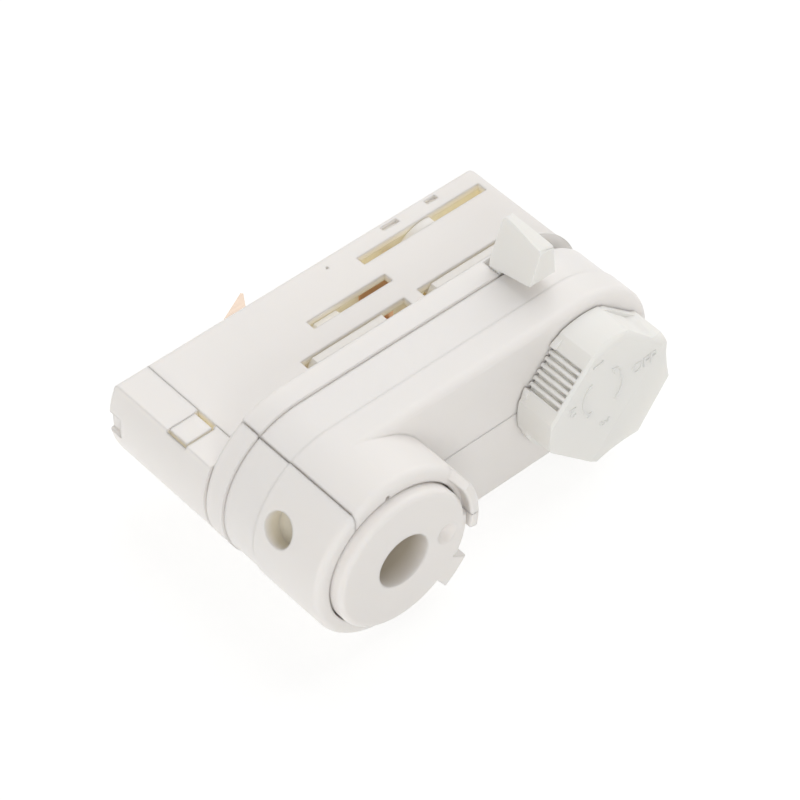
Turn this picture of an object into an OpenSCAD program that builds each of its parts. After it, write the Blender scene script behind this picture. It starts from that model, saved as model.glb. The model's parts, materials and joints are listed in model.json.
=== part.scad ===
// Adapter for a four wire lighting track, with a swivel disc for a suspension tube.
// Origin: axis of the tube bore, on the disc's end face. +Z points into the track,
// +X from the boss to the knob, the front is -Y. All sizes in millimetres.

/* [Housing] */
// Width of the body and of the boss
body_w = 33; // [30:0.5:38]
// Distance from the tube bore to the knob's axis
reach = 49.6; // [48:0.2:54]
// Height of the body's flat underside above the disc's end face
body_z = 12; // [11:0.2:13]
// Height of the flange that rests against the track
flange_z = 30.7; // [30:0.1:32]
// Height of the neck's top
neck_z = 56; // [55:0.5:58]
// Thickness of the neck that enters the track
neck_t = 15; // [14:0.2:16]
// Wall of the shells
wall = 1.5; // [1.2:0.1:1.8]
// Clear gap along the parting line of the shells
seam = 0.12; // [0.06:0.02:0.2]

/* [Swivel disc] */
// Diameter of the tube bore
bore_d = 10.4; // [10:0.1:11]
// Diameter of the disc
disc_d = 26.9; // [26:0.1:27.4]
// How far the disc stands proud of the boss rim
disc_proud = 2.4; // [2:0.1:3]
// Diameter of the blind side hole in the boss
side_hole_d = 6.3; // [5:0.1:7]

/* [Lock] */
// Length of each lock cam
cam_len = 23.2; // [21:0.2:23.6]
// Crank radius of the link bar
crank_r = 4.2; // [4:0.1:4.4]
// Distance of the left cam's pin from the tube bore
cam_x = 23; // [22.6:0.1:23.4]
// Distance of the neutral arm's pin from the tube bore
neutral_x = 29; // [28.6:0.1:29.4]

/* [Selector] */
// Diameter of the knob's base
knob_d = 28.6; // [26:0.2:29]
// Height of the knob's face above the disc's end face
knob_face_z = 3.6; // [3:0.1:4.5]
// Number of grip ribs on the knob's flat
rib_count = 6; // [4:1:7]
// Reach of the contact blades from their axis
blade_reach = 10.8; // [10:0.1:11]

/* [Hidden] */
r_b = body_w / 2;
h_n = neck_t / 2;
r_c = r_b - wall;
h_c = h_n - wall;
rim_z = disc_proud;
shelf_z = rim_z + 3;
seam_x = -8;
band_lo = body_z + 6.5;
band_hi = body_z + 13.9;
win_lo = 26;
win_hi = 30;
plate_lo = 30.2;
plate_hi = 33;
deck_lo = 46.6;
deck_hi = 48.2;
low_lo = 37.3;
low_hi = 39.3;
mid_lo = 43.65;
mid_hi = 45.75;
top_lo = 49.7;
top_hi = 51.8;
cam_lo = 37.5;
cam_hi = 39.0;
bar_lo = 39.5;
bar_hi = 41.3;
loft_lo = 52.2;
loft_hi = 53;
knob_ang = 221.1;
knob_base_z = body_z - 0.35;
scoop = 0.77;
side_hole_ang = 205.6;
side_hole_z = body_z + 1.5;
crank_a = 60;
round_fn = 96;
small_fn = 32;

white = [0.92, 0.91, 0.89];
copper = [0.72, 0.45, 0.25];
brass = [0.80, 0.66, 0.36];
steel = [0.70, 0.71, 0.72];

// Box given by its two corners
module box(a, b) {
  translate(a)
    cube(b - a);
}

// Rod along Z between two heights
module rod(x, y, r, z0, z1, fn = small_fn) {
  translate([x, y, z0])
    cylinder(r = r, h = z1 - z0, $fn = fn);
}

// Slot along X with square ends, cut through in Y
module slot_x(x0, x1, z0, z1, y0, y1) {
  box([x0, y0, z0], [x1, y1, z1]);
}

// Outline of the body seen from above
module outline(r) {
  circle(r = r, $fn = round_fn);
  translate([reach, 0])
    circle(r = r, $fn = round_fn);
  translate([0, -r])
    square([reach, 2 * r]);
}

// Half section of the body from a lower edge up, with its band and grooves
module body_profile(z, e) {
  difference() {
    union() {
      translate([0, z])
        square([r_b - e, flange_z - z]);
      translate([0, z + e])
        square([r_b, flange_z - z - e - 0.5]);
      translate([0, flange_z - 0.6])
        square([r_b - 0.5, 0.6]);
      translate([r_b - e, z + e])
        circle(r = e, $fn = small_fn);
      translate([r_b - 0.5, flange_z - 0.5])
        circle(r = 0.5, $fn = small_fn);
    }
    polygon([[r_b - 0.28, band_lo], [r_b + 0.12, band_lo - 0.6], [r_b + 1, band_lo - 0.6], [r_b + 1, band_hi],
      [r_b - 0.28, band_hi]]);
    translate([r_b - 0.65, band_hi - 0.1])
      square([1, 0.32]);
  }
}

// Body and boss: two half turned ends, the straight part between them, the inner half of the boss
module body_block() {
  rotate([0, 0, 90])
    rotate_extrude(angle = 180, $fn = round_fn)
      body_profile(rim_z, 1.3);
  translate([reach, 0, 0])
    rotate([0, 0, -90])
      rotate_extrude(angle = 180, $fn = round_fn)
        body_profile(body_z, 1.4);
  rotate([90, 0, 90])
    linear_extrude(reach) {
      body_profile(body_z, 1.4);
      mirror([1, 0, 0])
        body_profile(body_z, 1.4);
    }
  rotate([0, 0, -90])
    rotate_extrude(angle = 180, $fn = round_fn) {
      translate([0, rim_z])
        square([r_b - 1.3, body_z - rim_z + 3]);
      translate([0, rim_z + 1.25])
        square([r_b - 0.05, body_z - rim_z + 1.75]);
      translate([r_b - 1.3, rim_z + 1.25])
        circle(r = 1.25, $fn = small_fn);
    }
}

// Half section of the neck's ends
module neck_profile(r, c) {
  z = flange_z - 1.5;
  translate([0, z])
    square([r - c, neck_z + 0.02 - z]);
  translate([0, z])
    square([r, neck_z + 0.02 - c - z]);
  translate([r - c, neck_z + 0.02 - c])
    circle(r = c, $fn = small_fn);
}

// Neck with round top edges
module neck_block() {
  e = 1.2;
  c = 1.7;
  r = r_b - 0.06;
  intersection() {
    union() {
      rotate([0, 0, 90])
        rotate_extrude(angle = 180, $fn = round_fn)
          neck_profile(r, 0.7);
      translate([reach, 0, 0])
        rotate([0, 0, -90])
          rotate_extrude(angle = 180, $fn = round_fn)
            neck_profile(r, c);
      box([0, -h_n - 2, flange_z - 1.5], [reach, h_n + 2, neck_z + 0.02]);
    }
    rotate([90, 0, 90])
      translate([0, 0, -r_b - 2])
        linear_extrude(reach + 2 * r_b + 4) {
          translate([-h_n, 20])
            square([2 * h_n, neck_z - e - 20]);
          translate([-h_n + e, 20])
            square([2 * h_n - 2 * e, neck_z - 20]);
          for (s = [-1, 1])
            translate([s * (h_n - e), neck_z - e])
              circle(r = e, $fn = small_fn);
        }
  }
}

// Stop lug on the boss rim, with a sloping start
module stop_lug() {
  r = r_b - 0.05;
  difference() {
    rotate([0, 0, -42])
      rotate_extrude(angle = 53, $fn = round_fn) {
        translate([14.7, 0.5])
          square([r - 14.7, 3]);
        translate([15.2, 0])
          square([r - 15.7, 1]);
        for (x = [15.2, r - 0.5])
          translate([x, 0.5])
            circle(r = 0.5, $fn = small_fn);
      }
    rotate([0, 0, -29])
      rotate([48, 0, 0])
        box([10, -12, -12], [20, 0, 12]);
  }
}

// Room of the lever's plate with the window in which its arm swings
module lever_room() {
  translate([reach, 0, win_lo])
    linear_extrude(win_hi - win_lo) {
      circle(r = r_c - 0.2, $fn = round_fn);
      intersection() {
        circle(r = r_b + 2, $fn = round_fn);
        polygon([[0, 0], [44 - reach, 0], [44 - reach, -40], [40, -40], [40, 1.9]]);
      }
    }
}

// Neck seen from above, inside its walls
module neck_inside() {
  intersection() {
    outline(r_c - 0.3);
    translate([-40, -h_c])
      square([140, 2 * h_c]);
  }
}

// Shells before the small openings are cut
module hollow_block() {
  difference() {
    union() {
      body_block();
      neck_block();
      stop_lug();
    }
    translate([0, 0, body_z + 2])
      linear_extrude(29 - body_z - 2)
        outline(r_c);
    rod(0, 0, r_b - 2.2, shelf_z + 2.5, body_z + 3, round_fn);
    rod(0, 0, disc_d / 2 + 0.32, -1, shelf_z, round_fn);
    lever_room();
    translate([0, 0, plate_hi])
      linear_extrude(neck_z - 1.6 - plate_hi)
        neck_inside();
  }
  // deck that carries the shafts in the neck
  translate([0, 0, deck_lo])
    linear_extrude(deck_hi - deck_lo)
      intersection() {
        neck_inside();
        translate([9.5, -20])
          square([80, 40]);
      }
  // upper deck that guides the drum's top
  translate([0, 0, loft_lo])
    linear_extrude(loft_hi - loft_lo)
      intersection() {
        neck_inside();
        translate([33.2, -20])
          square([80, 40]);
      }
  // pad behind the side hole
  rotate([0, 0, side_hole_ang])
    box([12.1, -4.3, 9.2], [15.3, 4.3, 18]);
}

// Both shells together, before they are parted
module housing() {
  difference() {
    hollow_block();
    // shelf bore, wire way up to the terminals, bores of the shafts
    rod(0, 0, 8.2, shelf_z - 1, body_z + 3.2, round_fn);
    box([-11.9, -h_c + 0.3, 28], [7.6, h_c - 0.3, plate_hi + 1]);
    rod(reach, 0, 4.3, win_hi - 1, plate_hi + 1, 48);
    rod(reach, 0, 4.9, deck_lo - 1, deck_hi + 1, 48);
    rod(reach, 0, 4.9, loft_lo - 1, loft_hi + 0.5, 48);
    rod(reach, 0, 4.4, body_z - 1, body_z + 3, 48);
    rod(cam_x, 0, 1.5, plate_lo + 0.4, plate_hi + 1, 48);
    rod(neutral_x, 0, 1.2, deck_lo - 1, deck_hi + 1, 48);
    // slots of the neck, on both faces where the moving pieces come out
    slot_x(cam_x - 11.45, cam_x + 11.5, low_lo, low_hi, -h_n - 1, h_n + 1);
    slot_x(reach - 12.2, reach + 12.2, low_lo, low_hi, -h_n - 1, h_n + 1);
    slot_x(34.7, 62.7, top_lo, top_hi, -h_n - 1, h_n + 1);
    slot_x(18.35, 35.8, mid_lo, mid_hi, -h_n - 1, -2);
    slot_x(reach - 11.2, reach + 11.2, mid_lo, mid_hi, 2, h_n + 1);
    // shallow pockets and a pin mark above the top slot
    slot_x(42.6, 46.2, 53.75, 54.7, -h_n - 1, -h_n + 0.7);
    slot_x(52.6, 55.1, 53.75, 54.7, -h_n - 1, -h_n + 0.7);
    translate([29.4, -h_n + 0.5, 53.3])
      rotate([90, 0, 0])
        cylinder(r = 0.25, h = 2, $fn = 16);
    // opening of the earth contact
    box([8.4, -5.7, neck_z - 3], [16.9, -3.7, neck_z + 1]);
    // side hole of the boss
    rotate([0, 0, side_hole_ang])
      translate([0, 0, side_hole_z])
        rotate([0, 90, 0])
          translate([0, 0, 13])
            cylinder(d = side_hole_d, h = 6, $fn = 48);
    // small notch in the recess of the disc
    rod(-1.27, -14.05, 0.45, 1, 3.9, 24);
    // chamfered flange of the left end
    rotate([0, 0, 119])
      rotate_extrude(angle = 122, $fn = round_fn)
        polygon([[r_b - 0.8, flange_z + 0.05], [r_b + 0.4, flange_z - 1.05], [r_b + 0.4, flange_z + 0.05]]);
    // notch at the parting line of the neck's end
    box([-r_b - 1, -2.2, neck_z - 3.2], [-r_b + 1.1, 2.2, neck_z + 1]);
    // widened seam of the cover at the boss and beside the hook
    box([seam_x - 0.18, -r_b - 1, 3.3], [seam_x + 0.18, -11.3, flange_z - 0.05]);
    box([seam_x - 0.85, -h_n - 1, 37.4], [seam_x + 0.06, -h_c + 0.5, 42.1]);
  }
}

// Room taken by the front cover
module cover_room(gap) {
  box([seam_x + gap, -40, -5], [reach + 40, -gap, neck_z + 10]);
}

module rear_shell() {
  color(white) {
    difference() {
      housing();
      cover_room(-seam / 2);
      // window of the cover's hook
      box([-14.75, -h_n - 1, 36.95], [seam_x - 0.7, -h_c + 0.4, 41.95]);
    }
  }
}

module front_cover() {
  color(white) {
    intersection() {
      housing();
      cover_room(seam / 2);
    }
    // hook that snaps into the window of the left end
    box([-14.2, -h_n + 0.05, 37.45], [seam_x - 0.9, -h_c + 0.6, 41.85]);
    box([-13.6, -h_c + 0.5, 37.2], [seam_x + 3, -h_c + 1.4, 42.4]);
    box([seam_x + 1.2, -h_c - 0.4, 38.3], [seam_x + 3, -h_c + 1.4, 41.6]);
  }
}

module swivel_nipple() {
  r = disc_d / 2;
  color(white)
    difference() {
      union() {
        rotate_extrude($fn = round_fn) {
          translate([0, 1])
            square([r, shelf_z - 1.4]);
          square([r - 1, 2]);
          translate([r - 1, 1])
            circle(r = 1, $fn = small_fn);
          square([8, 17]);
        }
        // swollen edge beside the dimple
        rotate([0, 0, -6])
          rotate_extrude(angle = 39, $fn = round_fn) {
            translate([r - 2, 1])
              square([2.5, rim_z - 1.2]);
            translate([r - 0.45, 1])
              circle(r = 0.94, $fn = small_fn);
          }
        // stop tab over the rim
        rotate([0, 0, 34])
          rotate_extrude(angle = 21.5, $fn = round_fn) {
            translate([r - 2, 0.6])
              square([18.5 - r, rim_z - 0.8]);
            translate([r - 2, 0.05])
              square([17.9 - r, rim_z - 0.3]);
            translate([15.9, 0.65])
              circle(r = 0.6, $fn = small_fn);
          }
      }
      rod(0, 0, bore_d / 2, -1, 18, round_fn);
      // dimple in the face
      translate([9.4, 0.35, -0.01])
        cylinder(r1 = 2.1, r2 = 0.7, h = 1.9, $fn = small_fn);
    }
}

module nipple_nut() {
  z0 = shelf_z + 2.6;
  color(steel)
    difference() {
      union() {
        translate([0, 0, z0])
          cylinder(r = 11.6, h = 3.2, $fn = 6);
        rod(0, 0, 11.4, z0, z0 + 0.8, 64);
      }
      rod(0, 0, 8, z0 - 1, z0 + 5, round_fn);
    }
}

module friction_washer() {
  color(steel)
    difference() {
      rod(0, 0, 13, shelf_z - 0.3, shelf_z, round_fn);
      rod(0, 0, 8.3, shelf_z - 1, shelf_z + 1, round_fn);
    }
}

// Finger tab of the lever
module finger_tab() {
  intersection() {
    translate([0, 0, 18.8])
      linear_extrude(9.7)
        polygon([[44, -16.8], [44.2, -18.6], [46.7, -25.4], [47.3, -26], [48.2, -26.2], [49, -25.8],
          [49.4, -25], [49.9, -18.6], [49.9, -16.8]]);
    rotate([90, 0, 90])
      translate([0, 0, 40])
        linear_extrude(15)
          polygon([[-16.8, 28.5], [-18.6, 19.6], [-18.8, 18.8], [-24.7, 18.8], [-25.2, 19.3], [-26.2, 28],
            [-25.8, 28.5]]);
  }
}

module lock_lever() {
  color(white) {
    difference() {
      union() {
        rod(reach, 0, 14.3, win_lo + 0.35, win_hi - 0.35, round_fn);
        // arm through the window
        box([44.2, -17.6, win_lo + 0.35], [49.7, -8, 28.5]);
      }
      rod(reach, 0, 4, win_lo - 1, win_hi + 1, 48);
    }
    finger_tab();
  }
}

module lever_sleeve() {
  color(white)
    difference() {
      union() {
        rod(reach, 0, 4, win_lo + 0.35, cam_hi, 48);
        rod(reach, 0, 5.6, plate_hi + 0.3, cam_lo, 48);
      }
      rod(reach, 0, 2.1, win_lo - 1, cam_hi + 1, 48);
    }
}

// Lock cam: a round plate with two flats, and the crank pin of the link bar on top
module cam_plate(x, bore) {
  difference() {
    union() {
      translate([x, 0, cam_lo])
        linear_extrude(cam_hi - cam_lo)
          difference() {
            intersection() {
              circle(d = cam_len, $fn = round_fn);
              translate([-20, -h_n + 0.35])
                square([40, 2 * h_n - 0.7]);
            }
            for (a = [0, 180])
              rotate(a)
                translate([6.2, -h_n - 1])
                  square([8, 5.2]);
          }
      rod(x + crank_r * cos(crank_a), crank_r * sin(crank_a), 1, cam_hi - 0.5, bar_hi + 0.4);
    }
    rod(x, 0, bore, cam_lo - 1, cam_hi + 5, 48);
  }
}

module lock_cam_right() {
  color(white)
    cam_plate(reach, 4);
}

module lock_cam_left() {
  color(white) {
    cam_plate(cam_x, 1.6);
    // hub that stands on the plate below
    difference() {
      rod(cam_x, 0, 3.2, plate_hi + 0.3, cam_lo + 0.2, 48);
      rod(cam_x, 0, 1.6, plate_hi - 1, cam_hi, 48);
    }
  }
}

module cam_pivot_pin() {
  color(steel)
    rod(cam_x, 0, 1.5, plate_lo + 0.4, cam_hi + 0.2, 48);
}

module link_bar() {
  y = crank_r * sin(crank_a);
  dx = crank_r * cos(crank_a);
  color(white)
    difference() {
      union() {
        for (x = [cam_x, neutral_x, reach])
          rod(x + dx, y, 1.55, bar_lo, bar_hi);
        box([cam_x + dx, y - 1.2, bar_lo], [reach + dx, y + 1.2, bar_hi]);
      }
      for (x = [cam_x, neutral_x, reach])
        rod(x + dx, y, 1.06, bar_lo - 1, bar_hi + 1);
    }
}

module neutral_arm() {
  z = mid_lo + 0.2;
  color(white)
    difference() {
      union() {
        rod(neutral_x, 0, 3, z, mid_hi + 0.15, 48);
        // carrier that lies behind the slot
        translate([neutral_x, 0, z])
          linear_extrude(mid_hi - 0.2 - z)
            polygon([[0, 1.9], [-9.3, 1.9], [-9.6, 1.6], [-9.6, -5.9], [-9.2, -6.3], [-4.4, -6.3], [-1, -2.4],
              [0, -2.4]]);
        rod(neutral_x + crank_r * cos(crank_a), crank_r * sin(crank_a), 1, bar_lo + 0.1, z + 0.15);
        translate([neutral_x, 0, z])
          rotate([0, 0, crank_a])
            translate([0, -1.5, 0])
              cube([crank_r + 0.9, 3, 1.6]);
      }
      rod(neutral_x, 0, 1.3, bar_lo, deck_lo + 1, 48);
      // seat of the blade
      box([neutral_x - 10, -0.45, mid_lo + 0.5], [neutral_x - 3.6, 0.45, mid_hi + 1]);
    }
}

module neutral_blade() {
  color(brass) {
    box([neutral_x - 10.4, -0.4, mid_lo + 0.55], [neutral_x - 3.7, 0.4, mid_hi - 0.2]);
    rod(neutral_x - 10.4, 0, 0.4, mid_lo + 0.55, mid_hi - 0.2, 24);
  }
}

module neutral_pivot_pin() {
  color(steel)
    rod(neutral_x, 0, 1.2, 42.6, deck_hi + 0.4, 48);
}

// Knob outline in its own axes, with the side of the grip ribs toward +X
module knob_outline() {
  intersection() {
    union() {
      circle(r = knob_d / 2 - 0.05, $fn = round_fn);
      translate([-20, -20])
        square([14, 40]);
    }
    polygon([[12.5, -11.3], [12.5, 12.5], [6.2, 12.75], [-1.5, 12.3], [-5, 13.35], [-13.05, 6.1], [-13.7, -5.06],
      [-7.5, -12.2]]);
  }
}

// Block with a rounded lower edge toward one side of the knob
module knob_side(a, d, r) {
  z = knob_face_z - 0.06;
  rotate([0, 0, a])
    rotate([90, 0, 0])
      translate([0, 0, -30])
        linear_extrude(60) {
          translate([-40, z + r])
            square([40 + d, 20]);
          translate([-40, z])
            square([40 + d - r, 20]);
          translate([d - r, z + r])
            circle(r = r, $fn = small_fn);
        }
}

// One grip rib with a round crest
module grip_rib(t) {
  z0 = knob_face_z + 0.7;
  box([11.3, t - 0.38, z0], [12.2, t + 0.38, knob_base_z]);
  rod(12.2, t, 0.37, z0, knob_base_z, 24);
}

module phase_knob() {
  z = knob_base_z;
  color(white)
    translate([reach, 0, 0])
      rotate([0, 0, knob_ang])
        difference() {
          union() {
            difference() {
              union() {
                // base
                translate([0, 0, z - 1.1])
                  linear_extrude(1.1)
                    intersection() {
                      circle(r = knob_d / 2 - 0.3, $fn = round_fn);
                      translate([-20, -20])
                        square([33.2, 33]);
                    }
                intersection() {
                  translate([0, 0, knob_face_z])
                    linear_extrude(z - knob_face_z)
                      knob_outline();
                  knob_side(90, 13.2, 2.4);
                  knob_side(48, 14.3, 1.9);
                }
              }
              // pocket of the grip ribs
              box([11.5, -4.15, knob_face_z + 0.75], [20, 4.05, z + 1]);
            }
            // grip ribs
            for (i = [0 : rib_count - 1])
              grip_rib(-0.05 + 1.26 * (i - (rib_count - 1) / 2));
            // hub into the housing
            rod(0, 0, 4.2, z - 1, body_z + 2.4, 48);
          }
          // bevel along the ribbed side
          translate([12.05, 0, knob_face_z])
            rotate([0, 45, 0])
              translate([0, -20, -2])
                cube([4, 40, 4]);
          // finger scoop in the face
          translate([-9.8, 0, knob_face_z + scoop - 16])
            rotate([90, 0, 0])
              cylinder(r = 16, h = 40, center = true, $fn = round_fn);
          rod(0, 0, 2, knob_face_z + 2.5, 30, 48);
        }
}

module selector_shaft() {
  color(steel)
    difference() {
      union() {
        rod(reach, 0, 2, knob_face_z + 2.5, neck_z - 2, 48);
        // six sided part under the detent spring
        translate([reach, 0, 15.5])
          cylinder(r = 4.2, h = 7, $fn = 6);
        rod(reach, 0, 3.4, 22.4, win_lo, 48);
      }
    }
}

module contact_drum() {
  color(white)
    difference() {
      union() {
        rod(reach, 0, 4.6, 42.4, neck_z - 2.2, 48);
        rod(reach, 0, 7.2, top_lo + 0.2, top_hi - 0.2, 64);
        rod(reach, 0, 5.6, mid_lo + 0.2, mid_hi - 0.2, 64);
      }
      rod(reach, 0, 2, 42, neck_z, 48);
      // step beside the blade's way
      box([reach + 1.4, -9, top_lo], [reach + 9, -2.4, top_hi]);
      blade_slot(210, top_lo + 0.45, top_hi - 0.45, 0.02);
      blade_slot(150, mid_lo + 0.45, mid_hi - 0.45, 0.02);
    }
}

// Room of one blade on the drum
module blade_slot(a, z0, z1, gap) {
  translate([reach, 0, 0])
    rotate([0, 0, a])
      box([3.2 - gap, -0.5 - gap, z0 - gap], [blade_reach - 0.5, 0.5 + gap, z1 + gap]);
}

module blade(a, z0, z1) {
  blade_slot(a, z0, z1, 0);
  translate([reach, 0, 0])
    rotate([0, 0, a])
      rod(blade_reach - 0.5, 0, 0.5, z0, z1, 24);
}

module phase_blade_upper() {
  color(brass)
    blade(210, top_lo + 0.45, top_hi - 0.45);
}

module phase_blade_lower() {
  color(brass)
    blade(150, mid_lo + 0.45, mid_hi - 0.45);
}

module drum_wiper() {
  color(brass) {
    box([39.5, h_c - 0.9, deck_hi + 0.1], [46, h_c - 0.5, top_lo - 0.1]);
    box([45.6, 4.75, deck_hi + 0.1], [52.4, 5.15, top_lo - 0.1]);
    box([45.6, 4.75, deck_hi + 0.1], [46, h_c - 0.5, top_lo - 0.1]);
  }
}

module detent_spring() {
  color(steel) {
    box([reach - 11, 4.4, 16.5], [reach + 7, 4.8, 21.5]);
    box([reach - 11, 4.4, 16.5], [reach - 10.6, r_c - 0.05, 21.5]);
  }
}

module earth_contact() {
  y0 = -5;
  y1 = -4.4;
  color(copper) {
    translate([0, y1, 0])
      rotate([90, 0, 0])
        linear_extrude(y1 - y0)
          polygon([[9, 52.6], [13.6, 52.6], [14.4, 57], [16.3, 60], [16, 60.4], [9, 57]]);
    box([4, y0, 52.6], [9.45, y1, 53]);
  }
}

module phase_strip() {
  color(copper) {
    box([5, h_c - 0.5, deck_hi + 0.1], [45.6, h_c - 0.1, top_lo - 0.1]);
    box([5, 1.5, deck_hi + 0.1], [5.4, h_c - 0.1, top_lo - 0.1]);
  }
}

module neutral_strip() {
  color(copper) {
    box([5, h_c - 0.5, 43.4], [38, h_c - 0.1, deck_lo - 0.1]);
    box([neutral_x + 1.6, -5.6, deck_lo - 0.5], [38, h_c - 0.1, deck_lo - 0.1]);
    box([5, 1.5, 43.4], [5.4, h_c - 0.1, deck_lo - 0.1]);
  }
}

// Rows of the three terminals
clamp_x = [-9, -3, 3];

module terminal_block() {
  color(white)
    difference() {
      box([-11.9, -3.9, 35], [7.4, h_c - 0.6, 52.4]);
      for (x = clamp_x) {
        // wire entry from below and the clamp's room
        box([x - 1.9, -1.5, 34], [x + 1.9, 3.5, 46]);
        rod(x, 1, 2, 45, 53, 24);
      }
      // ways of the strips
      box([4.8, 1.3, deck_hi], [5.6, h_c, top_lo]);
      box([4.8, 1.3, 43.3], [5.6, h_c, deck_lo]);
    }
}

module terminal_clamps() {
  color(brass)
    for (x = clamp_x)
      difference() {
        box([x - 1.85, -1.45, 38], [x + 1.85, 3.45, 45.9]);
        box([x - 1.2, -0.8, 37], [x + 1.2, 2.8, 43.6]);
        rod(x, 1, 1, 43, 47, 24);
      }
}

module terminal_screws() {
  color(steel)
    for (x = clamp_x)
      difference() {
        union() {
          rod(x, 1, 0.98, 42, 48.6, 24);
          rod(x, 1, 1.7, 48.5, 50.2, 24);
        }
        box([x - 3, 0.75, 49.5], [x + 3, 1.25, 51]);
      }
}

rear_shell();
front_cover();
swivel_nipple();
nipple_nut();
friction_washer();
lock_lever();
lever_sleeve();
lock_cam_right();
lock_cam_left();
cam_pivot_pin();
link_bar();
neutral_arm();
neutral_blade();
neutral_pivot_pin();
phase_knob();
selector_shaft();
contact_drum();
phase_blade_upper();
phase_blade_lower();
drum_wiper();
detent_spring();
earth_contact();
phase_strip();
neutral_strip();
terminal_block();
terminal_clamps();
terminal_screws();
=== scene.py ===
"""Dresses the track light adapter: finishes, soft moulded edges, knob marks, stage, light and camera."""

from __future__ import annotations

import json
import logging
import math
from dataclasses import dataclass, field
from enum import Enum

import bmesh
import bpy
from mathutils import Matrix, Vector

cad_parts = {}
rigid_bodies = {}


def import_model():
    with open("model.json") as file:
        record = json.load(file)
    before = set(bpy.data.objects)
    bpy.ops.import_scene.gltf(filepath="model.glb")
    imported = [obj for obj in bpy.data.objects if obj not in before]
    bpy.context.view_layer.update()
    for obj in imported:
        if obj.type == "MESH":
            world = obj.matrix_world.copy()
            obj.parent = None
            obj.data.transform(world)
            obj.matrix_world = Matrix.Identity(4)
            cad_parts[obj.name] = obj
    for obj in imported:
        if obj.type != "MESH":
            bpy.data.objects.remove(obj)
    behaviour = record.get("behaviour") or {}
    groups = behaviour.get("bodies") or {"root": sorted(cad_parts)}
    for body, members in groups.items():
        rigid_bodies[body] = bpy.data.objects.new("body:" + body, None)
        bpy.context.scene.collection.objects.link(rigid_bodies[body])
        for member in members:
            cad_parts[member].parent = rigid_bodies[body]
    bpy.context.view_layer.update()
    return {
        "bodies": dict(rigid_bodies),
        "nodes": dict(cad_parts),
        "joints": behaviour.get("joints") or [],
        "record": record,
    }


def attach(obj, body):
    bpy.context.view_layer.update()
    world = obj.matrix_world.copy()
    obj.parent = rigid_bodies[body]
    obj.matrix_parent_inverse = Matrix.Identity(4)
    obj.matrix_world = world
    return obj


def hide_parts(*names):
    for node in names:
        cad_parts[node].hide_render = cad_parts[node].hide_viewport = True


Triple = tuple[float, float, float]

LOG = logging.getLogger("adapter")
MM = 0.001
MERGE_DISTANCE = 0.002 * MM
FLAT_ANGLE = 0.05
SMOOTH_ANGLE = 35.0

# Depth and strength of the fine reliefs.
GRAIN_STRENGTH = 0.08
GRAIN_DEPTH = 0.02 * MM
SCRATCH_STRENGTH = 0.12
SCRATCH_DEPTH = 0.01 * MM

# Places where the painted shade on the walls inside the neck, the tube bore and the side hole begins and is
# full, in millimetres.
NECK_MIDDLE_X = 24.9
NECK_WALL_FADE = (7.3, 5.9)
NECK_END_FADE = (39.9, 39.2)
NECK_FOOT_FADE = (32.6, 33.4)
NECK_TOP_FADE = (54.7, 54.2)
BORE_WALL_FADE = (5.35, 5.2)
BORE_MOUTH_FADE = (0.4, 4.0)
BORE_END_FADE = (30.5, 29.5)
SIDE_HOLE_ANGLE = 205.6
SIDE_HOLE_Z = 13.5
HOLE_WALL_FADE = (3.3, 3.18)
HOLE_MOUTH_FADE = (16.2, 14.6)
HOLE_SIDE_FADE = (-9.0, -10.0)

# Painted shade of those walls: cream inside the neck, tan in the bore and the side hole, paler on the cams; and
# a painted glow on the walls inside the neck and on the cams, where no lamp is.
NECK_PAINTED_SHADE = (0.94, 0.88, 0.71)
BORE_PAINTED_SHADE = (0.66, 0.60, 0.50)
HOLE_PAINTED_SHADE = (0.78, 0.73, 0.62)
WALL_LIGHT = (0.125, 0.113, 0.085)
CAM_SHADE = (0.93, 0.90, 0.84)
CAM_LIGHT = (0.06, 0.057, 0.05)


class Metal(Enum):
    """The bare metals of the adapter."""

    COPPER = "copper"
    COPPER_FIN = "copper_fin"
    BRASS = "brass"
    STEEL = "steel"


def link(tree: bpy.types.NodeTree, source: bpy.types.NodeSocket, target: bpy.types.NodeSocket) -> None:
    """Joins two sockets of a node tree."""
    tree.links.new(source, target)


def new_group(name: str, inputs: dict[str, tuple[str, object]], outputs: dict[str, str]) -> bpy.types.NodeTree:
    """Makes an empty shader node group with named sockets.

    Args:
        name: Name of the group.
        inputs: Socket name to its type and default value.
        outputs: Socket name to its type.

    Returns:
        The group, with its input and output nodes placed.
    """
    group = bpy.data.node_groups.new(name, "ShaderNodeTree")
    for label, (kind, value) in inputs.items():
        socket = group.interface.new_socket(label, in_out="INPUT", socket_type=kind)
        socket.default_value = value
    for label, kind in outputs.items():
        group.interface.new_socket(label, in_out="OUTPUT", socket_type=kind)
    group.nodes.new("NodeGroupInput").name = "in"
    group.nodes.new("NodeGroupOutput").name = "out"
    return group


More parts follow.
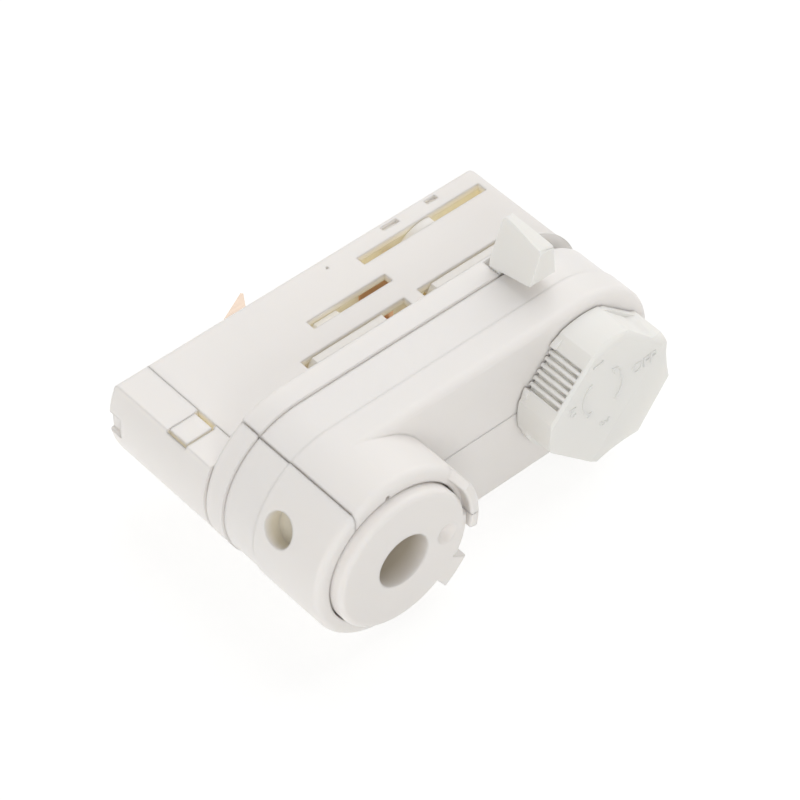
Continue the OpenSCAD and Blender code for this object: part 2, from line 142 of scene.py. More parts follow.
def moulded_skin_group() -> bpy.types.NodeTree:
    """Builds the shared skin of moulded plastic: a faint mottle, uneven gloss and a fine spark grain.

    Returns:
        A group with the outputs Color, Roughness and Height.
    """
    group = new_group(
        "moulded_skin",
        {
            "Base": ("NodeSocketColor", (0.8, 0.8, 0.8, 1.0)),
            "Aged": ("NodeSocketColor", (0.7, 0.7, 0.7, 1.0)),
            "Mottle": ("NodeSocketFloat", 0.3),
            "Gloss": ("NodeSocketFloat", 0.4),
            "Grain": ("NodeSocketFloat", 2600.0),
        },
        {"Color": "NodeSocketColor", "Roughness": "NodeSocketFloat", "Height": "NodeSocketFloat"},
    )
    nodes = group.nodes
    place = nodes.new("ShaderNodeTexCoord").outputs["Object"]
    source = nodes["in"].outputs
    cloud = nodes.new("ShaderNodeTexNoise")
    cloud.inputs["Scale"].default_value = 70.0
    cloud.inputs["Detail"].default_value = 3.0
    link(group, place, cloud.inputs["Vector"])
    amount = nodes.new("ShaderNodeMath")
    amount.operation = "MULTIPLY"
    link(group, cloud.outputs["Fac"], amount.inputs[0])
    link(group, source["Mottle"], amount.inputs[1])
    blend = nodes.new("ShaderNodeMix")
    blend.data_type = "RGBA"
    link(group, amount.outputs[0], blend.inputs[0])
    link(group, source["Base"], blend.inputs[6])
    link(group, source["Aged"], blend.inputs[7])
    link(group, blend.outputs[2], nodes["out"].inputs["Color"])
    flow = nodes.new("ShaderNodeTexNoise")
    flow.inputs["Scale"].default_value = 160.0
    flow.inputs["Detail"].default_value = 2.0
    link(group, place, flow.inputs["Vector"])
    spread = nodes.new("ShaderNodeMapRange")
    spread.inputs["To Min"].default_value = -0.06
    spread.inputs["To Max"].default_value = 0.08
    link(group, flow.outputs["Fac"], spread.inputs["Value"])
    rough = nodes.new("ShaderNodeMath")
    rough.operation = "ADD"
    link(group, spread.outputs["Result"], rough.inputs[0])
    link(group, source["Gloss"], rough.inputs[1])
    link(group, rough.outputs[0], nodes["out"].inputs["Roughness"])
    spark = nodes.new("ShaderNodeTexNoise")
    spark.inputs["Detail"].default_value = 1.0
    link(group, place, spark.inputs["Vector"])
    link(group, source["Grain"], spark.inputs["Scale"])
    link(group, spark.outputs["Fac"], nodes["out"].inputs["Height"])
    return group


def ramp(
    group: bpy.types.NodeTree, value: bpy.types.NodeSocket, start: float, end: float
) -> bpy.types.NodeSocket:
    """Gives a clamped ramp that is 0 at one value and 1 at another.

    Args:
        group: Node group that it stands in.
        value: What is measured.
        start: Value, in millimetres, at which the ramp is 0.
        end: Value, in millimetres, at which it is 1.

    Returns:
        The ramp's socket.
    """
    node = group.nodes.new("ShaderNodeMapRange")
    node.inputs["From Min"].default_value = start * MM
    node.inputs["From Max"].default_value = end * MM
    link(group, value, node.inputs["Value"])
    return node.outputs["Result"]


def combine(
    group: bpy.types.NodeTree, operation: str, first: bpy.types.NodeSocket, second: bpy.types.NodeSocket | float
) -> bpy.types.NodeSocket:
    """Joins two values by a Math node.

    Args:
        group: Node group that it stands in.
        operation: Name of the operation.
        first: First value.
        second: Second value, a socket or a number.

    Returns:
        The result's socket.
    """
    node = group.nodes.new("ShaderNodeMath")
    node.operation = operation
    link(group, first, node.inputs[0])
    if isinstance(second, float):
        node.inputs[1].default_value = second
    else:
        link(group, second, node.inputs[1])
    return node.outputs[0]


def painted_shade_and_glow_group() -> bpy.types.NodeTree:
    """Builds the painted shade on the walls inside the neck, the tube bore and the side hole.

    Returns:
        A group that gives Color with painted shade in those places, and Light, a painted glow on the walls
        inside the neck, where no lamp is.
    """
    group = new_group(
        "painted_shade_and_glow",
        {
            "Color": ("NodeSocketColor", (0.8, 0.8, 0.8, 1.0)),
            "Neck": ("NodeSocketColor", (0.9, 0.85, 0.7, 1.0)),
            "Bore": ("NodeSocketColor", (0.6, 0.55, 0.5, 1.0)),
            "Hole": ("NodeSocketColor", (0.7, 0.65, 0.6, 1.0)),
            "PaintedGlow": ("NodeSocketColor", (0.1, 0.1, 0.1, 1.0)),
        },
        {"Color": "NodeSocketColor", "Light": "NodeSocketColor"},
    )
    nodes = group.nodes
    source = nodes["in"].outputs
    split = nodes.new("ShaderNodeSeparateXYZ")
    link(group, nodes.new("ShaderNodeTexCoord").outputs["Object"], split.inputs[0])
    x, y, z = split.outputs
    # Masks of the painted shade: inside the neck, in the tube bore and in the side hole.
    inner = ramp(group, combine(group, "ABSOLUTE", y, 0.0), *NECK_WALL_FADE)
    along = combine(group, "ABSOLUTE", combine(group, "SUBTRACT", x, NECK_MIDDLE_X * MM), 0.0)
    neck = combine(group, "MULTIPLY", inner, ramp(group, along, *NECK_END_FADE))
    neck = combine(group, "MULTIPLY", neck, ramp(group, z, *NECK_FOOT_FADE))
    neck = combine(group, "MULTIPLY", neck, ramp(group, z, *NECK_TOP_FADE))
    flat = nodes.new("ShaderNodeCombineXYZ")
    link(group, x, flat.inputs[0])
    link(group, y, flat.inputs[1])
    radius = nodes.new("ShaderNodeVectorMath")
    radius.operation = "LENGTH"
    link(group, flat.outputs[0], radius.inputs[0])
    reach = radius.outputs["Value"]
    bore = combine(group, "MULTIPLY", ramp(group, reach, *BORE_WALL_FADE), ramp(group, z, *BORE_MOUTH_FADE))
    bore = combine(group, "MULTIPLY", bore, ramp(group, z, *BORE_END_FADE))
    angle = math.radians(SIDE_HOLE_ANGLE)
    aside = combine(
        group,
        "ADD",
        combine(group, "MULTIPLY", x, -math.sin(angle)),
        combine(group, "MULTIPLY", y, math.cos(angle)),
    )
    place = nodes.new("ShaderNodeCombineXYZ")
    link(group, aside, place.inputs[0])
    link(group, combine(group, "SUBTRACT", z, SIDE_HOLE_Z * MM), place.inputs[1])
    away = nodes.new("ShaderNodeVectorMath")
    away.operation = "LENGTH"
    link(group, place.outputs[0], away.inputs[0])
    hole = ramp(group, away.outputs["Value"], *HOLE_WALL_FADE)
    hole = combine(group, "MULTIPLY", hole, ramp(group, reach, *HOLE_MOUTH_FADE))
    hole = combine(group, "MULTIPLY", hole, ramp(group, x, *HOLE_SIDE_FADE))
    # Mixes the painted shade colours over the plastic's own colour.
    shaded_color = source["Color"]
    for mask, label in ((neck, "Neck"), (bore, "Bore"), (hole, "Hole")):
        blend = nodes.new("ShaderNodeMix")
        blend.data_type = "RGBA"
        link(group, mask, blend.inputs[0])
        link(group, shaded_color, blend.inputs[6])
        link(group, source[label], blend.inputs[7])
        shaded_color = blend.outputs[2]
    link(group, shaded_color, nodes["out"].inputs["Color"])
    # The painted glow: an emission colour on the walls inside the neck, where no lamp is.
    painted_glow = nodes.new("ShaderNodeMix")
    painted_glow.data_type = "RGBA"
    painted_glow.inputs[6].default_value = (0.0, 0.0, 0.0, 1.0)
    link(group, neck, painted_glow.inputs[0])
    link(group, source["PaintedGlow"], painted_glow.inputs[7])
    link(group, painted_glow.outputs[2], nodes["out"].inputs["Light"])
    return group


def rolled_metal_group() -> bpy.types.NodeTree:
    """Builds the shared look of rolled sheet metal: long scratches and a tarnish cloud.

    Returns:
        A group with the outputs Color, Roughness and Height.
    """
    group = new_group(
        "rolled_metal",
        {
            "Bright": ("NodeSocketColor", (0.8, 0.6, 0.4, 1.0)),
            "Tarnish": ("NodeSocketColor", (0.4, 0.3, 0.2, 1.0)),
            "Gloss": ("NodeSocketFloat", 0.3),
        },
        {"Color": "NodeSocketColor", "Roughness": "NodeSocketFloat", "Height": "NodeSocketFloat"},
    )
    nodes = group.nodes
    source = nodes["in"].outputs
    place = nodes.new("ShaderNodeTexCoord").outputs["Object"]
    cloud = nodes.new("ShaderNodeTexNoise")
    cloud.inputs["Scale"].default_value = 220.0
    cloud.inputs["Detail"].default_value = 4.0
    link(group, place, cloud.inputs["Vector"])
    blend = nodes.new("ShaderNodeMix")
    blend.data_type = "RGBA"
    link(group, cloud.outputs["Fac"], blend.inputs[0])
    link(group, source["Bright"], blend.inputs[6])
    link(group, source["Tarnish"], blend.inputs[7])
    link(group, blend.outputs[2], nodes["out"].inputs["Color"])
    stretch = nodes.new("ShaderNodeMapping")
    stretch.inputs["Scale"].default_value = (120.0, 2400.0, 2400.0)
    link(group, place, stretch.inputs["Vector"])
    scratch = nodes.new("ShaderNodeTexNoise")
    scratch.inputs["Scale"].default_value = 1.0
    scratch.inputs["Detail"].default_value = 2.0
    link(group, stretch.outputs["Vector"], scratch.inputs["Vector"])
    spread = nodes.new("ShaderNodeMapRange")
    spread.inputs["To Min"].default_value = -0.08
    spread.inputs["To Max"].default_value = 0.14
    link(group, scratch.outputs["Fac"], spread.inputs["Value"])
    rough = nodes.new("ShaderNodeMath")
    rough.operation = "ADD"
    link(group, spread.outputs["Result"], rough.inputs[0])
    link(group, source["Gloss"], rough.inputs[1])
    link(group, rough.outputs[0], nodes["out"].inputs["Roughness"])
    link(group, scratch.outputs["Fac"], nodes["out"].inputs["Height"])
    return group


def dressed_material(
    name: str, group: bpy.types.NodeTree, values: dict[str, object], bump: float, depth: float
) -> bpy.types.Material:
    """Makes a material whose skin comes from a node group.

    Args:
        name: Name of the material.
        group: Group with the outputs Color, Roughness and Height.
        values: Group input to its value.
        bump: Strength of the bump.
        depth: Height of the bump in metres.

    Returns:
        The material, with its shader inside.
    """
    material = bpy.data.materials.new(name)
    material.use_nodes = True
    tree = material.node_tree
    shader = tree.nodes["Principled BSDF"]
    skin = tree.nodes.new("ShaderNodeGroup")
    skin.name = "skin"
    skin.node_tree = group
    for label, value in values.items():
        skin.inputs[label].default_value = value
    relief = tree.nodes.new("ShaderNodeBump")
    relief.name = "relief"
    relief.inputs["Strength"].default_value = bump
    relief.inputs["Distance"].default_value = depth
    link(tree, skin.outputs["Color"], shader.inputs["Base Color"])
    link(tree, skin.outputs["Roughness"], shader.inputs["Roughness"])
    link(tree, skin.outputs["Height"], relief.inputs["Height"])
    link(tree, relief.outputs["Normal"], shader.inputs["Normal"])
    return material


@dataclass(frozen=True)
class MouldedPlastic:
    """White plastic from the mould.

    Attributes:
        name: Name of the finish.
        base: Colour of the fresh surface.
        aged: Colour that the mottle goes toward.
        gloss: Mean roughness.
        mottle: Share of the aged colour.
        depth: Share of the light that goes into the plastic.
        edge: Radius of the softened edges in millimetres, or 0 where the mesh has them.
        paints_shade: Whether painted shade goes on the walls inside the neck and in the holes.
        shade: Painted shade inside the neck.
        painted_glow: Painted glow on the walls inside the neck, where no lamp is.
    """

    name: str
    base: Triple
    aged: Triple
    gloss: float = 0.42
    mottle: float = 0.3
    depth: float = 0.25
    edge: float = 0.0
    paints_shade: bool = False
    shade: Triple = NECK_PAINTED_SHADE
    painted_glow: Triple = WALL_LIGHT

    def material(self, group: bpy.types.NodeTree, shade_painter: bpy.types.NodeTree) -> bpy.types.Material:
        """Makes the finish as a material.

        Args:
            group: The skin of moulded plastic.
            shade_painter: The group that paints shade and glow inside the neck and the holes.

        Returns:
            The material.
        """
        made = dressed_material(
            self.name,
            group,
            {
                "Base": (*self.base, 1.0),
                "Aged": (*self.aged, 1.0),
                "Mottle": self.mottle,
                "Gloss": self.gloss,
            },
            GRAIN_STRENGTH,
            GRAIN_DEPTH,
        )
        tree = made.node_tree
        shader = tree.nodes["Principled BSDF"]
        shader.inputs["Specular IOR Level"].default_value = 0.35
        shader.inputs["Subsurface Weight"].default_value = self.depth
        shader.inputs["Subsurface Radius"].default_value = (1.0, 0.9, 0.75)
        shader.inputs["Subsurface Scale"].default_value = 2.5 * MM
        if self.edge > 0.0:
            soft = tree.nodes.new("ShaderNodeBevel")
            soft.samples = 6
            soft.inputs["Radius"].default_value = self.edge * MM
            link(tree, soft.outputs["Normal"], tree.nodes["relief"].inputs["Normal"])
        # Painted shade on the walls inside the neck, the tube bore and the side hole, and a painted glow as
        # emission inside the neck.
        if self.paints_shade:
            shade_paint = tree.nodes.new("ShaderNodeGroup")
            shade_paint.node_tree = shade_painter
            shade_paint.inputs["Neck"].default_value = (*self.shade, 1.0)
            shade_paint.inputs["Bore"].default_value = (*BORE_PAINTED_SHADE, 1.0)
            shade_paint.inputs["Hole"].default_value = (*HOLE_PAINTED_SHADE, 1.0)
            shade_paint.inputs["PaintedGlow"].default_value = (*self.painted_glow, 1.0)
            link(tree, tree.nodes["skin"].outputs["Color"], shade_paint.inputs["Color"])
            link(tree, shade_paint.outputs["Color"], shader.inputs["Base Color"])
            link(tree, shade_paint.outputs["Light"], shader.inputs["Emission Color"])
            shader.inputs["Emission Strength"].default_value = 1.0
        return made


@dataclass(frozen=True)
class RolledMetal:
    """Bare metal strip, pin or screw.

    Attributes:
        kind: Which metal it is.
        bright: Colour of the clean metal.
        tarnish: Colour of the dulled metal.
        gloss: Mean roughness.
    """

    kind: Metal
    bright: Triple
    tarnish: Triple
    gloss: float = 0.32

    def material(self, group: bpy.types.NodeTree) -> bpy.types.Material:
        """Returns the finish as a material on the given metal group."""
        made = dressed_material(
            f"{self.kind.value}_bare",
            group,
            {"Bright": (*self.bright, 1.0), "Tarnish": (*self.tarnish, 1.0), "Gloss": self.gloss},
            SCRATCH_STRENGTH,
            SCRATCH_DEPTH,
        )
        made.node_tree.nodes["Principled BSDF"].inputs["Metallic"].default_value = 1.0
        return made


@dataclass
class Workshop:
    """All finishes, made once."""

    materials: dict[str, bpy.types.Material] = field(default_factory=dict)

    def mix_finishes(self) -> None:
        """Makes the materials of the plastics and the bare metals, and the variants of the plastic."""
        skin = moulded_skin_group()
        shade_painter = painted_shade_and_glow_group()
        sheet = rolled_metal_group()
        for finish in (
            # shell_white and cam_white carry painted shade and a painted glow inside the neck; the cams have
            # their own paler painted shade and fainter glow.
            MouldedPlastic("shell_white", (0.875, 0.845, 0.82), (0.85, 0.82, 0.785), edge=0.6, paints_shade=True),
            MouldedPlastic(
                "cam_white",
                (0.88, 0.85, 0.81),
                (0.85, 0.82, 0.77),
                edge=0.2,
                paints_shade=True,
                shade=CAM_SHADE,
                painted_glow=CAM_LIGHT,
            ),
            MouldedPlastic("knob_white", (0.86, 0.85, 0.82), (0.835, 0.825, 0.785), gloss=0.46),
            MouldedPlastic("inner_white", (0.84, 0.80, 0.74), (0.80, 0.75, 0.68), gloss=0.5),
        ):
            self.materials[finish.name] = finish.material(skin, shade_painter)
        for metal in (
            RolledMetal(Metal.COPPER, (0.88, 0.58, 0.38), (0.78, 0.48, 0.29)),
            RolledMetal(Metal.COPPER_FIN, (0.52, 0.43, 0.36), (0.46, 0.37, 0.30), gloss=0.4),
            RolledMetal(Metal.BRASS, (0.83, 0.68, 0.42), (0.66, 0.52, 0.30)),
            RolledMetal(Metal.STEEL, (0.68, 0.68, 0.69), (0.5, 0.5, 0.51), gloss=0.36),
        ):
            self.materials[metal.kind.value] = metal.material(sheet)

    def dress(self, piece: bpy.types.Object, finish: str) -> None:
        """Puts one finish on all of a piece."""
        piece.data.materials.clear()
        piece.data.materials.append(self.materials[finish])


def deselect() -> None:
    """Leaves edit mode and clears the selection."""
    if bpy.context.object is not None and bpy.context.object.mode != "OBJECT":
        bpy.ops.object.mode_set(mode="OBJECT")
    bpy.ops.object.select_all(action="DESELECT")


def activate(piece: bpy.types.Object) -> None:
    """Makes a piece the only selected and the active object."""
    deselect()
    piece.select_set(True)
    bpy.context.view_layer.objects.active = piece


def settle_at_origin(piece: bpy.types.Object) -> None:
    """Moves a piece's place into its mesh, so that its object sits at the origin."""
    activate(piece)
    bpy.ops.object.transform_apply(location=True, rotation=True, scale=True)


def smooth_by_angle(piece: bpy.types.Object, degrees: float) -> None:
    """Shades a piece smooth, with creases past an angle."""
    activate(piece)
    bpy.ops.object.shade_smooth_by_angle(angle=math.radians(degrees))


@dataclass
class SoftEdgedPiece:
    """A moulded piece whose sharp edges are broken, shown in place of its plain solid.

    Attributes:
        node: Name of the solid that it stands for.
        body: Body that it rides on.
        finish: Finish that it wears.
        width: Width of the broken edge in millimetres.
        limit: Smallest angle of an edge that is broken, in degrees.
        thumb_y: Edges beyond this place toward the front, along the underside, are rounded further.
        thumb_width: Width of that rounding in millimetres.
    """

    node: str
    body: str
    finish: str
    width: float
    limit: float = 28.0
    thumb_y: float = -100.0
    thumb_width: float = 0.0

    def round_thumb_edges(self, piece: bpy.types.Object) -> None:
        """Rounds the edges between the underside and the left and front faces, where a finger rests."""
        activate(piece)
        bpy.ops.object.mode_set(mode="EDIT")
        bpy.ops.mesh.select_mode(type="EDGE")
        bpy.ops.mesh.select_all(action="DESELECT")
        mesh = bmesh.from_edit_mesh(piece.data)
        mesh.normal_update()
        for edge in mesh.edges:
            if len(edge.link_faces) != 2 or max(v.co.y for v in edge.verts) > self.thumb_y * MM:
                continue
            under = [f for f in edge.link_faces if f.normal.z < -0.5]
            side = [f for f in edge.link_faces if f.normal.z > -0.5 and min(f.normal.x, f.normal.y) < -0.3]
            edge.select_set(len(under) == 1 and len(side) == 1)
        bmesh.update_edit_mesh(piece.data)
        bpy.ops.mesh.bevel(offset=self.thumb_width * MM, segments=5, affect="EDGES", clamp_overlap=True)
        bpy.ops.object.mode_set(mode="OBJECT")

    def build(self, frame: dict, shop: Workshop) -> bpy.types.Object:
        """Copies the solid, merges its faces and rounds its edges.

        Args:
            shop: The finishes.

        Returns:
            The finished piece.
        """
        piece = frame["nodes"][self.node].copy()
        piece.data = piece.data.copy()
        piece.parent = None
        piece.matrix_world = Matrix.Identity(4)
        piece.name = f"{self.node}_soft"
        bpy.context.collection.objects.link(piece)
        activate(piece)
        bpy.ops.object.mode_set(mode="EDIT")
        bpy.ops.mesh.select_all(action="SELECT")
        bpy.ops.mesh.remove_doubles(threshold=MERGE_DISTANCE)
        bpy.ops.mesh.dissolve_limited(angle_limit=math.radians(FLAT_ANGLE))
        bpy.ops.object.mode_set(mode="OBJECT")
        if self.thumb_width > 0.0:
            self.round_thumb_edges(piece)
        edge = piece.modifiers.new("broken_edges", "BEVEL")
        edge.width = self.width * MM
        edge.segments = 3
        edge.limit_method = "ANGLE"
        edge.angle_limit = math.radians(self.limit)
        edge.use_clamp_overlap = True
        bpy.ops.object.modifier_apply(modifier=edge.name)
        smooth_by_angle(piece, SMOOTH_ANGLE)
        flats = piece.modifiers.new("flat_faces", "WEIGHTED_NORMAL")
        flats.mode = "FACE_AREA"
        flats.weight = 100
        flats.keep_sharp = True
        bpy.ops.object.modifier_apply(modifier=flats.name)
        shop.dress(piece, self.finish)
        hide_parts(self.node)
        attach(piece, self.body)
        return piece


@dataclass
class KnobMarks:
    """The raised positions and turning arrows on the selector knob's face.

    Places are given in the knob's own axes: toward the ribbed side, and to its left seen from above.

    Attributes:
        axis_x: Distance of the knob's axis from the tube bore, in millimetres.
        face_z: Height of the knob's face.
        angle: Direction of the ribbed side, in degrees.
        relief: How far the marks stand out.
        letter: Height of a character.
        centre: Middle of the marks.
        ring: Radius of the arrows.
        stroke: Width of an arrow's line.
        head: Width of an arrow's head.
        bold: How far the outline of a character is widened.
        places: Text of a mark, its distance from the middle and its direction.
        arrows: Angle where an arrow begins and the angle that its line covers.
    """

    axis_x: float = 49.6
    face_z: float = 3.6
    angle: float = 221.1
    relief: float = 0.2
    letter: float = 3.2
    centre: tuple[float, float] = (4.1, 1.1)
    ring: float = 4.5
    stroke: float = 0.5
    head: float = 1.5
    bold: float = 0.03
    places: tuple[tuple[str, float, float], ...] = (
        ("1", 7.7, 39.0),
        ("2", 6.9, -42.0),
        ("3", 7.8, -136.0),
        ("OFF", 9.3, 135.0),
    )
    arrows: tuple[tuple[float, float], ...] = ((12.0, -100.0), (190.0, -100.0))

    def knob_matrix(self) -> Matrix:
        """Gives the knob's own axes on its face."""
        place = Matrix.Translation(Vector((self.axis_x, 0.0, self.face_z)) * MM)
        middle = Matrix.Translation(Vector((*self.centre, 0.0)) * MM)
        return place @ Matrix.Rotation(math.radians(self.angle), 4, "Z") @ middle

    def build_text(self, text: str, away: float, direction: float) -> bpy.types.Object:
        """Makes one raised mark that reads outward, as a mesh in its place.

        Args:
            text: What it says.
            away: Distance of its middle from the middle of the marks, in millimetres.
            direction: Direction from there, in degrees.

        Returns:
            The mark.
        """
        deselect()
        bpy.ops.object.text_add()
        made = bpy.context.object
        made.data.body = text
        made.data.size = self.letter * MM
        made.data.extrude = self.relief * MM
        made.data.offset = self.bold * MM
        made.data.resolution_u = 4
        made.data.align_x = "CENTER"
        made.data.align_y = "CENTER"
        bpy.ops.object.convert(target="MESH")
        spin = Matrix.Rotation(math.radians(direction), 4, "Z")
        out = Matrix.Translation(Vector((away, 0.0, 0.0)) * MM)
        made.matrix_world = self.knob_matrix() @ spin @ out @ Matrix.Rotation(math.pi, 4, "X")
        settle_at_origin(made)
        return made

    def build_arrow(self, start: float, sweep: float) -> bpy.types.Object:
        """Makes one curved arrow: an edge is spun into a band, widened to a head and drawn to a tip.

        Args:
            start: Angle where the arrow begins, in degrees.
            sweep: Angle that its line covers, negative where it turns the other way.

        Returns:
            The arrow as a raised mesh in its place.
        """
        deselect()
        half = self.stroke / 2
        bpy.ops.mesh.primitive_plane_add(size=self.stroke * MM, location=(self.ring * MM, -half * MM, 0.0))
        made = bpy.context.object
        settle_at_origin(made)
        bpy.ops.object.mode_set(mode="EDIT")
        bpy.ops.mesh.select_mode(type="VERT")
        bpy.ops.mesh.select_all(action="DESELECT")
        mesh = bmesh.from_edit_mesh(made.data)
        for vertex in mesh.verts:
            vertex.select_set(vertex.co.y < -half * MM)
        bmesh.update_edit_mesh(made.data)
        bpy.ops.mesh.delete(type="VERT")
        bpy.ops.mesh.select_all(action="SELECT")
        # With no window, spin turns the other way.
        bpy.ops.mesh.spin(
            steps=18,
            angle=-math.radians(sweep),
            center=(0.0, 0.0, 0.0),
            axis=(0.0, 0.0, 1.0),
        )
        bpy.ops.mesh.extrude_edges_move()
        end = self.selected_middle(made)
        wide = self.head / self.stroke
        bpy.ops.transform.resize(value=(wide, wide, 1.0), center_override=end)
        bpy.ops.mesh.extrude_edges_move()
        bpy.ops.mesh.merge(type="CENTER")
        onward = Vector((0.0, 0.0, 1.0)).cross(end).normalized()
        way = math.copysign(1.0, self.turn(made, end))
        bpy.ops.transform.translate(value=onward * self.head * MM * way)
        bpy.ops.object.mode_set(mode="OBJECT")
        raised = made.modifiers.new("relief", "SOLIDIFY")
        raised.thickness = 2 * self.relief * MM
        raised.offset = 0.0
        bpy.ops.object.modifier_apply(modifier=raised.name)
        made.matrix_world = self.knob_matrix() @ Matrix.Rotation(math.radians(start), 4, "Z")
        settle_at_origin(made)
        return made

    @staticmethod
    def selected_middle(piece: bpy.types.Object) -> Vector:
        """Gives the middle of the selected vertices of a piece in edit mode."""
        places = [v.co for v in bmesh.from_edit_mesh(piece.data).verts if v.select]
        return sum(places, Vector()) / len(places)

    @staticmethod
    def turn(piece: bpy.types.Object, end: Vector) -> float:
        """Tells which way round a spun band goes, from the middle of its line to its end."""
        places = [v.co for v in bmesh.from_edit_mesh(piece.data).verts]
        middle = sum(places, Vector()) / len(places)
        return middle.cross(end).z

    def build(self, shop: Workshop) -> bpy.types.Object:
        """Makes all marks as one piece on the knob.

        Args:
            shop: The finishes.

        Returns:
            The finished piece.
        """
        marks = [self.build_text(*place) for place in self.places]
        marks += [self.build_arrow(*arrow) for arrow in self.arrows]
        deselect()
        for mark in marks:
            mark.select_set(True)
        bpy.context.view_layer.objects.active = marks[0]
        bpy.ops.object.join()
        piece = bpy.context.object
        piece.name = "knob_marks"
        bpy.ops.object.mode_set(mode="EDIT")
        bpy.ops.mesh.select_all(action="SELECT")
        bpy.ops.mesh.remove_doubles(threshold=MERGE_DISTANCE)
        bpy.ops.mesh.normals_make_consistent(inside=False)
        bpy.ops.object.mode_set(mode="OBJECT")
        shop.dress(piece, "knob_white")
        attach(piece, "selector")
        return piece


@dataclass
class SolidFinishes:
    """Finishes of the solids that stay as they are, by node name."""

    shells: tuple[str, ...] = ("rear_shell", "front_cover", "swivel_nipple")
    cams: tuple[str, ...] = ("lock_cam_left", "lock_cam_right", "neutral_arm", "contact_drum")
    inner: tuple[str, ...] = ("lever_sleeve", "link_bar", "terminal_block")
    fin: tuple[str, ...] = ("earth_contact",)
    copper: tuple[str, ...] = ("phase_strip", "neutral_strip")
    brass: tuple[str, ...] = (
        "neutral_blade",
        "phase_blade_upper",
        "phase_blade_lower",
        "drum_wiper",
        "terminal_clamps",
    )
    steel: tuple[str, ...] = (
        "nipple_nut",
        "friction_washer",
        "cam_pivot_pin",
        "neutral_pivot_pin",
        "selector_shaft",
        "detent_spring",
        "terminal_screws",
    )

    def dress(self, frame: dict, shop: Workshop) -> None:
        """Puts the finishes on the solids.

        Args:
            shop: The finishes.
        """
        for names, finish in (
            (self.shells, "shell_white"),
            (self.cams, "cam_white"),
            (self.inner, "inner_white"),
            (self.fin, Metal.COPPER_FIN.value),
            (self.copper, Metal.COPPER.value),
            (self.brass, Metal.BRASS.value),
            (self.steel, Metal.STEEL.value),
        ):
            for name in names:
                shop.dress(frame["nodes"][name], finish)
                LOG.info("dressed %s as %s", name, finish)


def direct_view(tree: bpy.types.NodeTree, path: bpy.types.Node) -> bpy.types.NodeSocket:
    """Gives 1 for what the camera, a reflection or clear plastic shows, and 0 for the light on the object.

    Args:
        tree: Node tree that it stands in.
        path: Its Light Path node.

    Returns:
        The mask's socket.
    """
    glossy = combine(tree, "MAXIMUM", path.outputs["Is Camera Ray"], path.outputs["Is Glossy Ray"])
    return combine(tree, "MAXIMUM", glossy, path.outputs["Is Transmission Ray"])


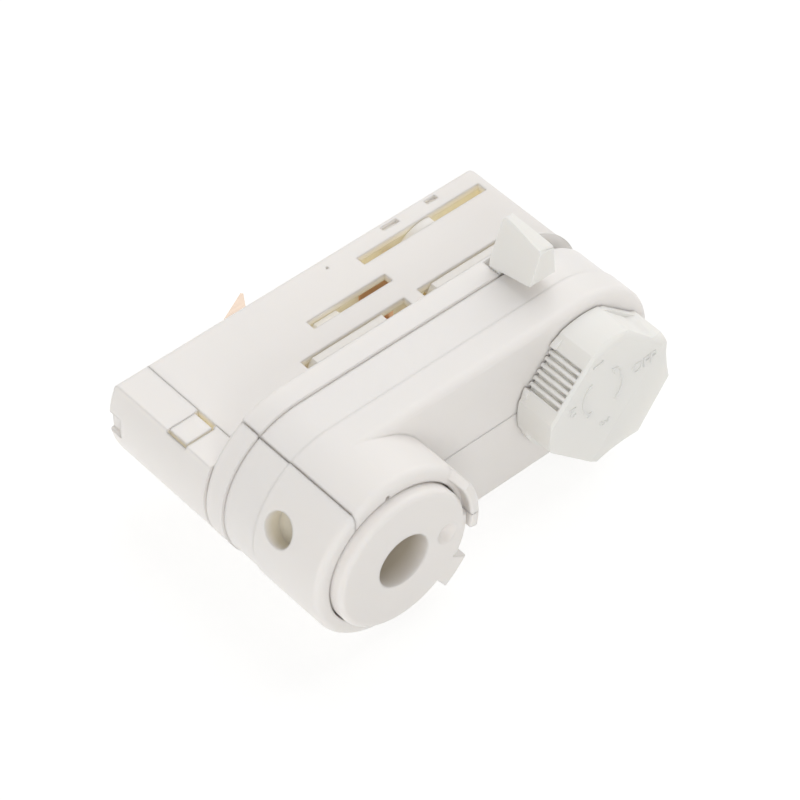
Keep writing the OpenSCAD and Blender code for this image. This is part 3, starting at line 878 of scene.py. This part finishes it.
@dataclass
class Studio:
    """The white sweep that the adapter lies on, the soft light and the camera.

    Attributes:
        floor_y: Place of the sweep behind the adapter's rear side, in millimetres.
        floor_size: Side of the sweep in metres.
        floor_glow: What the camera sees of the sweep even in shadow.
        floor_paper: What it sees of the light on the sweep.
        floor_plain: Colour that the sweep gives back to the object.
        ambient: Strength of the surrounding light.
        eye: Place of the camera, in millimetres.
        ahead: Direction that the camera looks in.
        right: Direction to the right of the picture.
        lens: Focal length on a 36 mm frame.
        lamps: Name, direction that the light comes from, strength and spread in degrees.
    """

    floor_y: float = 16.6
    floor_size: float = 6.0
    floor_glow: float = 0.74
    floor_paper: Triple = (0.34, 0.34, 0.335)
    floor_plain: Triple = (0.8, 0.8, 0.79)
    ambient: float = 0.55
    eye: Triple = (-251.6, -443.7, -288.0)
    ahead: Triple = (0.4504, 0.7279, 0.5170)
    right: Triple = (0.7516, 0.0034, -0.6595)
    lens: float = 163.79
    lamps: tuple[tuple[str, Triple, float, float], ...] = (
        ("key", (0.62, -0.74, 0.28), 1.2, 60.0),
        ("under", (-0.42, -0.40, -0.81), 0.7, 30.0),
        ("left", (-0.98, 0.0, -0.15), 0.44, 40.0),
        ("rear", (0.10, 0.85, 0.50), 1.3, 60.0),
    )

    def lay_floor(self) -> bpy.types.Object:
        """Makes the sweep: white to the camera with a faint shadow, clear from behind.

        Returns:
            The sweep.
        """
        deselect()
        bpy.ops.mesh.primitive_plane_add(
            size=self.floor_size,
            location=(0.025, self.floor_y * MM, 0.03),
            rotation=(math.radians(90.0), 0.0, 0.0),
        )
        floor = bpy.context.object
        floor.name = "white_sweep"
        settle_at_origin(floor)
        material = bpy.data.materials.new("white_sweep")
        material.use_nodes = True
        tree = material.node_tree
        tree.nodes.clear()
        out = tree.nodes.new("ShaderNodeOutputMaterial")
        paper = tree.nodes.new("ShaderNodeBsdfDiffuse")
        paper.inputs["Color"].default_value = (*self.floor_paper, 1.0)
        glow = tree.nodes.new("ShaderNodeEmission")
        glow.inputs["Color"].default_value = (1.0, 1.0, 0.998, 1.0)
        glow.inputs["Strength"].default_value = self.floor_glow
        plain = tree.nodes.new("ShaderNodeBsdfDiffuse")
        plain.inputs["Color"].default_value = (*self.floor_plain, 1.0)
        clear = tree.nodes.new("ShaderNodeBsdfTransparent")
        both = tree.nodes.new("ShaderNodeAddShader")
        seen = tree.nodes.new("ShaderNodeMixShader")
        sided = tree.nodes.new("ShaderNodeMixShader")
        path = tree.nodes.new("ShaderNodeLightPath")
        side = tree.nodes.new("ShaderNodeNewGeometry")
        link(tree, paper.outputs[0], both.inputs[0])
        link(tree, glow.outputs[0], both.inputs[1])
        link(tree, direct_view(tree, path), seen.inputs[0])
        link(tree, plain.outputs[0], seen.inputs[1])
        link(tree, both.outputs[0], seen.inputs[2])
        link(tree, side.outputs["Backfacing"], sided.inputs[0])
        link(tree, seen.outputs[0], sided.inputs[1])
        link(tree, clear.outputs[0], sided.inputs[2])
        link(tree, sided.outputs[0], out.inputs["Surface"])
        floor.data.materials.append(material)
        floor.visible_shadow = False
        return floor

    def light_world(self) -> None:
        """Makes the surrounding light: white to the camera, plain ambient to the object."""
        world = bpy.data.worlds.new("studio")
        bpy.context.scene.world = world
        world.use_nodes = True
        tree = world.node_tree
        tree.nodes.clear()
        out = tree.nodes.new("ShaderNodeOutputWorld")
        dim = tree.nodes.new("ShaderNodeBackground")
        dim.inputs["Color"].default_value = (1.0, 0.99, 0.975, 1.0)
        dim.inputs["Strength"].default_value = self.ambient
        white = tree.nodes.new("ShaderNodeBackground")
        white.inputs["Color"].default_value = (1.0, 1.0, 1.0, 1.0)
        white.inputs["Strength"].default_value = 1.0
        path = tree.nodes.new("ShaderNodeLightPath")
        pick = tree.nodes.new("ShaderNodeMixShader")
        link(tree, direct_view(tree, path), pick.inputs[0])
        link(tree, dim.outputs[0], pick.inputs[1])
        link(tree, white.outputs[0], pick.inputs[2])
        link(tree, pick.outputs[0], out.inputs["Surface"])

    def hang_lamps(self) -> None:
        """Adds the soft lamps."""
        for name, source, strength, spread in self.lamps:
            data = bpy.data.lights.new(name, "SUN")
            data.energy = strength
            data.angle = math.radians(spread)
            lamp = bpy.data.objects.new(name, data)
            lamp.rotation_mode = "QUATERNION"
            lamp.rotation_quaternion = Vector(source).to_track_quat("Z", "Y")
            bpy.context.collection.objects.link(lamp)

    def set_camera(self) -> None:
        """Places the camera as the photograph was taken."""
        data = bpy.data.cameras.new("camera")
        data.sensor_width = 36.0
        data.lens = self.lens
        data.clip_start = 0.02
        data.clip_end = 50.0
        camera = bpy.data.objects.new("camera", data)
        back = -Vector(self.ahead).normalized()
        right = Vector(self.right).normalized()
        up = back.cross(right).normalized()
        right = up.cross(back)
        turn = Matrix((right, up, back)).transposed().to_4x4()
        camera.matrix_world = Matrix.Translation(Vector(self.eye) * MM) @ turn
        bpy.context.collection.objects.link(camera)
        bpy.context.scene.camera = camera

    def build(self) -> None:
        """Sets up everything round the adapter."""
        bpy.context.scene.view_settings.view_transform = "Standard"
        self.lay_floor()
        self.light_world()
        self.hang_lamps()
        self.set_camera()


def main() -> None:
    """Builds the dressed adapter in order."""
    logging.basicConfig(level=logging.INFO, format="%(name)s: %(message)s")
    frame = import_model()
    shop = Workshop()
    shop.mix_finishes()
    SolidFinishes().dress(frame, shop)
    for piece in (
        SoftEdgedPiece("lock_lever", "lever", "knob_white", 0.3, thumb_y=-18.0, thumb_width=1.9),
        SoftEdgedPiece("phase_knob", "selector", "knob_white", 0.3),
    ):
        made = piece.build(frame, shop)
        LOG.info("built %s with %d faces", made.name, len(made.data.polygons))
    marks = KnobMarks().build(shop)
    LOG.info("built %s with %d faces", marks.name, len(marks.data.polygons))
    Studio().build()


if __name__ == "__main__":
    main()
